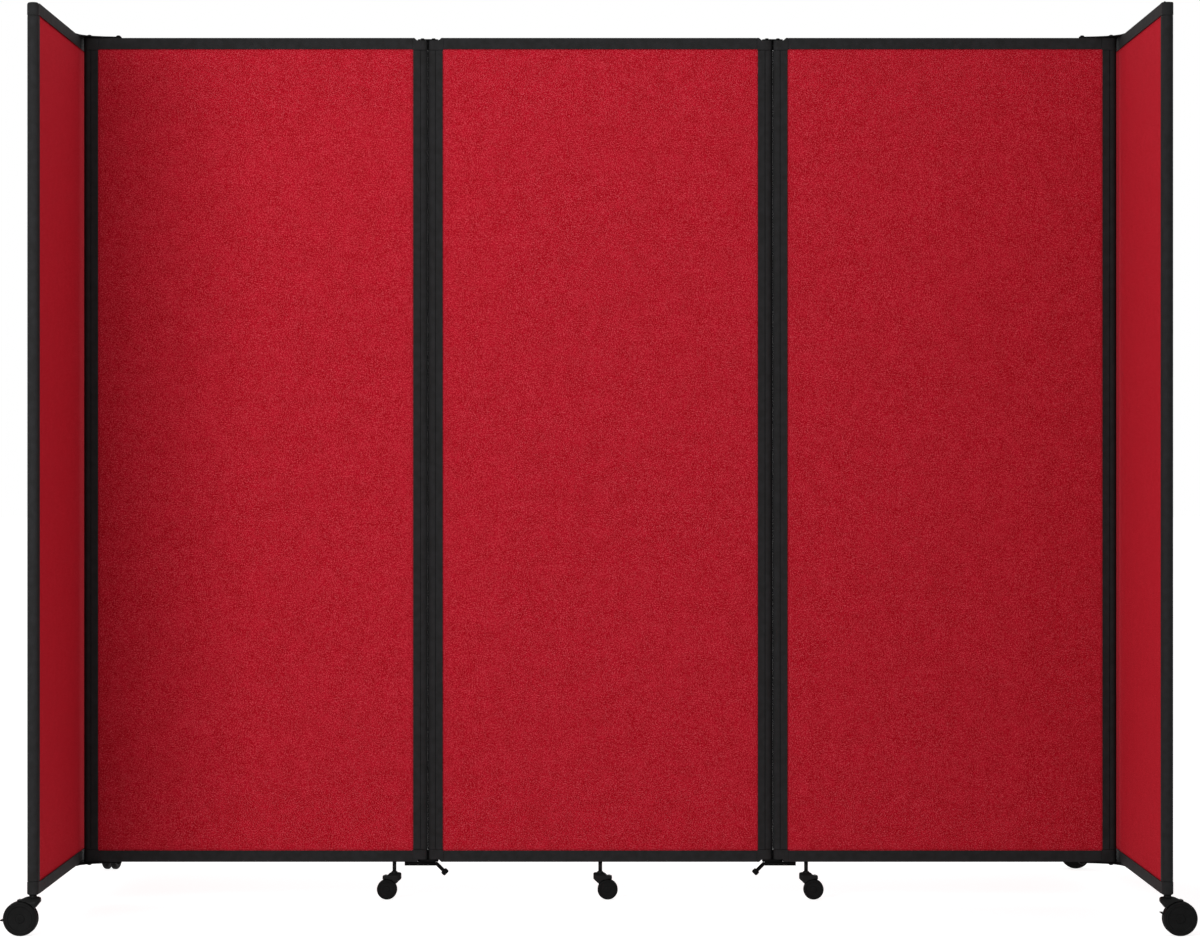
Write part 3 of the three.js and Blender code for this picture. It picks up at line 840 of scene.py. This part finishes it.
def wheel_pair(node, joint, sizes):
    """Twin wheels with a soft tread, a rim line, a dished face and a hub cap."""
    low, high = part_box(node)
    radius = (high.z - low.z) / 2
    centre, axis = Vector(joint["pos_m"]), Vector(joint["axis"])
    tread, dish, width, axle, crown = (
        sizes[key] for key in ("tread", "dish", "width", "axle", "crown")
    )
    shoulder = width * WHEEL_SHOULDER
    outer = [(radius - tread * inward, tread * outward) for inward, outward in TREAD_CURVE]
    outer.append((radius, width * TREAD_FLAT))
    for step in range(WHEEL_CURVE_STEPS + 1):
        angle = math.pi / 2 * step / WHEEL_CURVE_STEPS
        drop = crown * (1 - math.cos(angle))
        outer.append((radius - drop, shoulder + (width - shoulder) * math.sin(angle)))
    rim = sizes["rim"] + crown
    line = crown + WHEEL_LINE_INSET
    outer += [(radius - line - inward, width - depth) for inward, depth in RIM_LINE]
    outer += [(radius - rim, width - RIM_STEP), (radius - rim - dish, width - dish)]
    outer += [(axle * share, width - dish * depth) for share, depth in HUB_FACE]
    shells = []
    for way in (-1, 1):
        start = centre + axis * way * sizes["gap"] / 2
        shells.append(turned([(0, 0)] + outer, start, axis * way, WHEEL_STEPS))
    half = sizes["gap"] / 2 + FIT_GAP
    rod = [(0, -half), (axle, -half), (axle, half), (0, half)]
    shells.append(turned(rod, centre, axis, PIN_STEPS))
    return from_shells(f"{node}_fine", shells, "wheels", WHEEL_ANGLE)


def lobed(level, angle):
    """The outline of a knob with soft lobes, the same in every row."""
    return KNOB_WAIST + KNOB_LOBE_DEPTH * math.cos(KNOB_LOBES * angle)


def lever_piece(node, joint, side):
    """A lock lever: a flat bar on its pin, a bent rod and a four-lobed knob."""
    pivot = Vector(joint["pos_m"])
    top = pivot.z - FIT_GAP
    grip = Vector((-side, 0, 0))
    reach = LEVER_PIVOT_PLACE + LEVER_REACH
    middle = top - LEVER_BAR_DEPTH / 2
    half = LEVER_BAR_DEPTH / 2
    width = LEVER_THICKNESS * LEVER_SIDE_SHARE
    slack = half * LEVER_CHAMFER_SHARE
    outline = [
        (-half + slack, -width),
        (half - slack, -width),
        (half, -width + slack),
        (half, width - slack),
        (half - slack, width),
        (-half + slack, width),
        (-half, width - slack),
        (-half, -width + slack),
    ]
    start = Vector((pivot.x, pivot.y, middle))
    end = reach - half * LEVER_END_SHARE
    bar = prism(outline, start, (0, 0, 1), (0, 1, 0), grip, -LEVER_TAIL, end, slack)
    way = (grip - Vector((0, 0, 1))).normalized()
    bend = start + grip * reach
    run = LEVER_DROP * math.sqrt(2)
    rod_profile = [(LEVER_ROD_RADIUS * across, half * place) for across, place in ROD_CURVE]
    rod_profile += [(LEVER_ROD_RADIUS, run), (0, run)]
    rod = turned(rod_profile, bend, way, PIN_STEPS)
    knob_half = LEVER_KNOB_LENGTH / 2
    knob_profile = [(LEVER_KNOB_RADIUS * across, knob_half * place) for across, place in KNOB_CURVE]
    knob = turned(knob_profile, bend + way * run, way, outline=lobed)
    pin_profile = [
        (0, 0),
        (LEVER_PIN_RADIUS, 0),
        (LEVER_PIN_RADIUS, LEVER_PIN_LENGTH),
        (0, LEVER_PIN_LENGTH),
    ]
    pin = turned(pin_profile, (pivot.x, pivot.y, top - FIT_GAP), (0, 0, 1), LEVER_PIN_STEPS)
    return from_shells(f"{node}_fine", [bar, rod, knob, pin], "black_steel")


def edge_stops(low, high):
    """Places along one side of a panel, close together where the fabric turns into the frame."""
    edge = [0, GROOVE_DEPTH / 2, GROOVE_DEPTH]
    edge += [GROOVE_DEPTH + FABRIC_EDGE_REACH * share for share in FABRIC_EDGE_SHARES]
    first, last = low + edge[-1], high - edge[-1]
    cells = round((last - first) / FABRIC_CELL)
    middle = [first + (last - first) * step / cells for step in range(1, cells)]
    return [low + step for step in edge] + middle + [high - step for step in reversed(edge)]


def fabric_panel(node):
    """A board with its fabric stretched over it, turned in at the frame and faintly uneven."""
    low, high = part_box(node)
    size = high - low
    along = Vector((1, 0, 0)) if size.x > size.y else Vector((0, 1, 0))
    across = Vector((along.y, along.x, 0))
    centre = (low + high) / 2
    half = size.dot(across) / 2
    start, end = low.dot(along), high.dot(along)
    runs, heights = edge_stops(start, end), edge_stops(low.z, high.z)
    points, faces, grids = [], [], []
    for way in (-1, 1):
        grid = []
        for run in runs:
            column = []
            for height in heights:
                inside = min(run - start, end - run, height - low.z, high.z - height)
                share = min(1, max(0, (inside - GROOVE_DEPTH) / FABRIC_EDGE_REACH))
                place = along * run + across * centre.dot(across) + Vector((0, 0, height))
                swell = perlin.noise((place + across * way) / UNEVENNESS_SIZE) * share - 0.5 * share
                depth = half - FABRIC_EDGE_DIP * (1 - share) ** 2 + FABRIC_UNEVENNESS * swell
                column.append(len(points))
                points.append(place + across * way * depth)
            grid.append(column)
        for first, second in zip(grid, grid[1:]):
            for step in range(len(heights) - 1):
                faces.append([first[step], second[step], second[step + 1], first[step + 1]])
        grids.append(grid)
    borders = []
    for grid in grids:
        ring = [column[0] for column in grid] + grid[-1][1:]
        ring += [column[-1] for column in reversed(grid[:-1])] + grid[0][-2:0:-1]
        borders.append(ring)
    count = len(borders[0])
    for step in range(count):
        after = (step + 1) % count
        faces.append([borders[0][step], borders[0][after], borders[1][after], borders[1][step]])
    return from_shells(f"{node}_fine", [(points, faces)], "fabric", FABRIC_ANGLE)


def plate_height(node, way):
    """The inner and the outer face of the flat plate in a node that carries heads."""
    low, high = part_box(node)
    if "link" in node:
        outer = (high.z if way > 0 else low.z) - way * LINK_HEAD_HEIGHT
        return outer - way * LINK_THICKNESS, outer
    outer = (high.z if way > 0 else low.z) - way * SCREW_HEIGHT
    return outer - way * PLATE_THICKNESS, outer


def link_web(node, places, inner, way):
    """A thin web under a hinge link that closes the gap between the caps it joins."""
    start, end = (Vector((x, y, 0)) for x, y in places)
    along = (end - start).normalized()
    across = Vector((-along.y, along.x, 0))
    depth = CAP_HEIGHT - CAP_RECESS + 2 * PART_LINE_WIDTH
    outline = [
        (-WEB_HALF, -WEB_REACH),
        (WEB_HALF, -WEB_REACH),
        (WEB_HALF, WEB_REACH),
        (-WEB_HALF, WEB_REACH),
    ]
    origin = (start + end) / 2 + Vector((0, 0, inner))
    shell = prism(outline, origin, along, across, (0, 0, -way), -FIT_GAP, depth, CUT_SLACK)
    return from_shells(f"{node}_web", [shell], "black_steel")


def headed_plate(node, places, radius, height, socket):
    """A flat steel plate with screw or rivet heads, and under a hinge link its web and pad."""
    way = 1 if node.endswith("_top") else -1
    inner, outer = plate_height(node, way)
    body = without_heads(node, min(inner, outer), max(inner, outer))
    plate = finished(body, f"{node}_fine", "black_steel", STEEL_BEVEL)
    head = screw_head if socket else rivet_head
    extras = []
    for number, (x, y) in enumerate(places):
        shell = head((x, y, outer), way, radius, height)
        extras.append(from_shells(f"{node}_head_{number}", [shell], "black_steel"))
    if not socket:
        extras.append(link_web(node, places, inner, way))
        if way < 0:
            foot = outer - LINK_HEAD_HEIGHT + CUT_SLACK
            extras.append(link_pad(node, places, foot, outer + STEEL_BEVEL))
    for extra in extras:
        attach(extra, node_bodies[node])
    return plate


def corner_pin(node, pivot):
    """The headed pin on which the end of the row turns."""
    low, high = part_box(node)
    way = 1 if node.endswith("_top") else -1
    tip, crown = (low.z, high.z) if way > 0 else (high.z, low.z)
    foot = crown - way * SCREW_HEIGHT * CORNER_PIN_COLLAR
    seat = (pivot.x, pivot.y, crown - way * SCREW_HEIGHT)
    length = abs(foot - tip)
    shaft = [(0, 0), (CORNER_PIN_RADIUS, 0), (CORNER_PIN_RADIUS, length), (0, length)]
    collar = [
        (0, 0),
        (SCREW_RADIUS - STEEL_BEVEL / 2, 0),
        (SCREW_RADIUS, STEEL_BEVEL / 2),
        (SCREW_RADIUS, SCREW_HEIGHT / 2),
        (0, SCREW_HEIGHT / 2),
    ]
    shells = [
        turned(shaft, (pivot.x, pivot.y, tip), (0, 0, way), PIN_STEPS),
        turned(collar, (pivot.x, pivot.y, foot), (0, 0, way)),
        screw_head(seat, way, SCREW_RADIUS_SEEN, SCREW_HEIGHT_SEEN),
    ]
    return from_shells(f"{node}_fine", shells, "black_steel")


def joint_place(name):
    """The place of a joint."""
    return Vector(joints[name]["pos_m"])


def dressed(node, slot):
    """The finished piece for a CAD node."""
    side = -1 if node.startswith("left") else 1
    name = "left" if side < 0 else "right"
    if slot == "fabric":
        return fabric_panel(node)
    if node.endswith("_seal"):
        return sealing_strip(node, slot)
    if node.endswith("_stile"):
        return rounded_stile(node, slot)
    if node.endswith("_wheels"):
        sizes = SMALL_WHEEL if node.startswith("row") else LARGE_WHEEL
        return wheel_pair(node, joints[f"{node.removesuffix('_wheels')}_roll"], sizes)
    if node.endswith("_head"):
        return moulded(node, slot)
    if node.endswith("_lever"):
        return lever_piece(node, joints[f"{node}_turn"], side)
    if "_link_" in node:
        pivots = [joint_place(f"{name}_hinge_inner"), joint_place(f"{name}_hinge_outer")]
        places = [(pivot.x, pivot.y) for pivot in pivots]
        return headed_plate(node, places, LINK_HEAD_RADIUS, LINK_HEAD_HEIGHT, False)
    if "_plate_" in node:
        pivot = joint_place(f"{name}_wing_hinge")
        wing = pivot.x + side * WING_OFFSET
        places = [
            (pivot.x - side * PLATE_PANEL_REACH, 0),
            (wing, -PLATE_WING_REACH),
            (wing, PLATE_WING_REACH),
        ]
        return headed_plate(node, places, SCREW_RADIUS_SEEN, SCREW_HEIGHT_SEEN, True)
    if "_pin_" in node:
        return corner_pin(node, joint_place(f"{name}_wing_hinge"))
    return refined(node, slot)


# Every CAD node gets its finished piece
slots = {entry["node"]: entry["material_slot"] for entry in frame["record"]["subparts"]}
bodies = frame["record"]["behaviour"]["bodies"]
node_bodies = {node: body for body, nodes in bodies.items() for node in nodes}
for node, body in node_bodies.items():
    stand_for(dressed(node, slots[node]), node, body)


def add_camera():
    """The camera of the photograph, level and straight on."""
    data = bpy.data.cameras.new("camera")
    data.sensor_width = SENSOR_WIDTH_MM
    data.lens = FOCAL_PX / IMAGE_WIDTH_PX * SENSOR_WIDTH_MM
    data.shift_x = (CENTRE_X_PX - VANISHING_X_PX) / IMAGE_WIDTH_PX
    data.shift_y = (VANISHING_Y_PX - CENTRE_Y_PX) / IMAGE_WIDTH_PX
    data.clip_end = CLIP_END
    camera = bpy.data.objects.new("camera", data)
    camera.location = (0, -CAMERA_DISTANCE, CAMERA_HEIGHT)
    camera.rotation_euler = (math.pi / 2, 0, 0)
    bpy.context.scene.collection.objects.link(camera)
    bpy.context.scene.camera = camera


def seen(tree):
    """One where the camera looks, directly, in a reflection or through glass, else nought."""
    path = tree.nodes.new("ShaderNodeLightPath")
    value = path.outputs["Is Camera Ray"]
    for ray in ("Is Glossy Ray", "Is Transmission Ray"):
        value = math_node(tree, "MAXIMUM", value, path.outputs[ray])
    return value


def add_floor():
    """A white floor that keeps the shadow, lighter to the camera than it lights the screen."""
    bpy.ops.mesh.primitive_plane_add(size=FLOOR_SIZE)
    floor = bpy.context.object
    floor.name = "floor"
    material, tree, shader = new_material("floor_white")
    shader.inputs["Roughness"].default_value = FLOOR_ROUGHNESS
    shader.inputs["Specular IOR Level"].default_value = 0
    shader.inputs["Base Color"].default_value = (FLOOR_BASE, FLOOR_BASE, FLOOR_BASE, 1)
    pale = add_node(tree, "ShaderNodeBsdfDiffuse", Color=(FLOOR_LIT, FLOOR_LIT, FLOOR_LIT, 1))
    glow = add_node(tree, "ShaderNodeEmission", Strength=FLOOR_GLOW)
    both = tree.nodes.new("ShaderNodeAddShader")
    tree.links.new(pale.outputs["BSDF"], both.inputs[0])
    tree.links.new(glow.outputs["Emission"], both.inputs[1])
    mix = tree.nodes.new("ShaderNodeMixShader")
    tree.links.new(seen(tree), mix.inputs["Fac"])
    tree.links.new(shader.outputs["BSDF"], mix.inputs[1])
    tree.links.new(both.outputs["Shader"], mix.inputs[2])
    tree.links.new(mix.outputs["Shader"], tree.nodes["Material Output"].inputs["Surface"])
    floor.data.materials.append(material)


def add_world():
    """An even studio sky, white where the camera looks at it."""
    world = bpy.data.worlds.new("studio")
    bpy.context.scene.world = world
    world.use_nodes = True
    tree = world.node_tree
    lit = tree.nodes["Background"]
    lit.inputs["Color"].default_value = (1, 1, 1, 1)
    lit.inputs["Strength"].default_value = SKY_STRENGTH
    white = add_node(tree, "ShaderNodeBackground", Strength=1)
    white.inputs["Color"].default_value = (1, 1, 1, 1)
    mix = tree.nodes.new("ShaderNodeMixShader")
    tree.links.new(seen(tree), mix.inputs["Fac"])
    tree.links.new(lit.outputs["Background"], mix.inputs[1])
    tree.links.new(white.outputs["Background"], mix.inputs[2])
    tree.links.new(mix.outputs["Shader"], tree.nodes["World Output"].inputs["Surface"])


def add_lamp(name, watts, width, height, place, aim, glossy=True):
    """A broad soft lamp, aimed at a point."""
    data = bpy.data.lights.new(name, "AREA")
    data.energy = watts
    data.shape = "RECTANGLE"
    data.size = width
    data.size_y = height
    lamp = bpy.data.objects.new(name, data)
    lamp.location = place
    lamp.visible_camera = False
    lamp.visible_glossy = glossy
    lamp.rotation_euler = (Vector(aim) - Vector(place)).to_track_quat("-Z", "Y").to_euler()
    bpy.context.scene.collection.objects.link(lamp)


add_camera()
add_floor()
add_world()
add_lamp("key", KEY_WATTS, KEY_WIDTH, KEY_HEIGHT, KEY_PLACE, KEY_AIM)
add_lamp("top", TOP_WATTS, TOP_SIZE, TOP_SIZE, TOP_PLACE, TOP_AIM, glossy=False)
add_lamp("rear", REAR_WATTS, REAR_SIZE, REAR_SIZE, REAR_PLACE, REAR_AIM, glossy=False)
bpy.context.scene.view_settings.view_transform = "Standard"
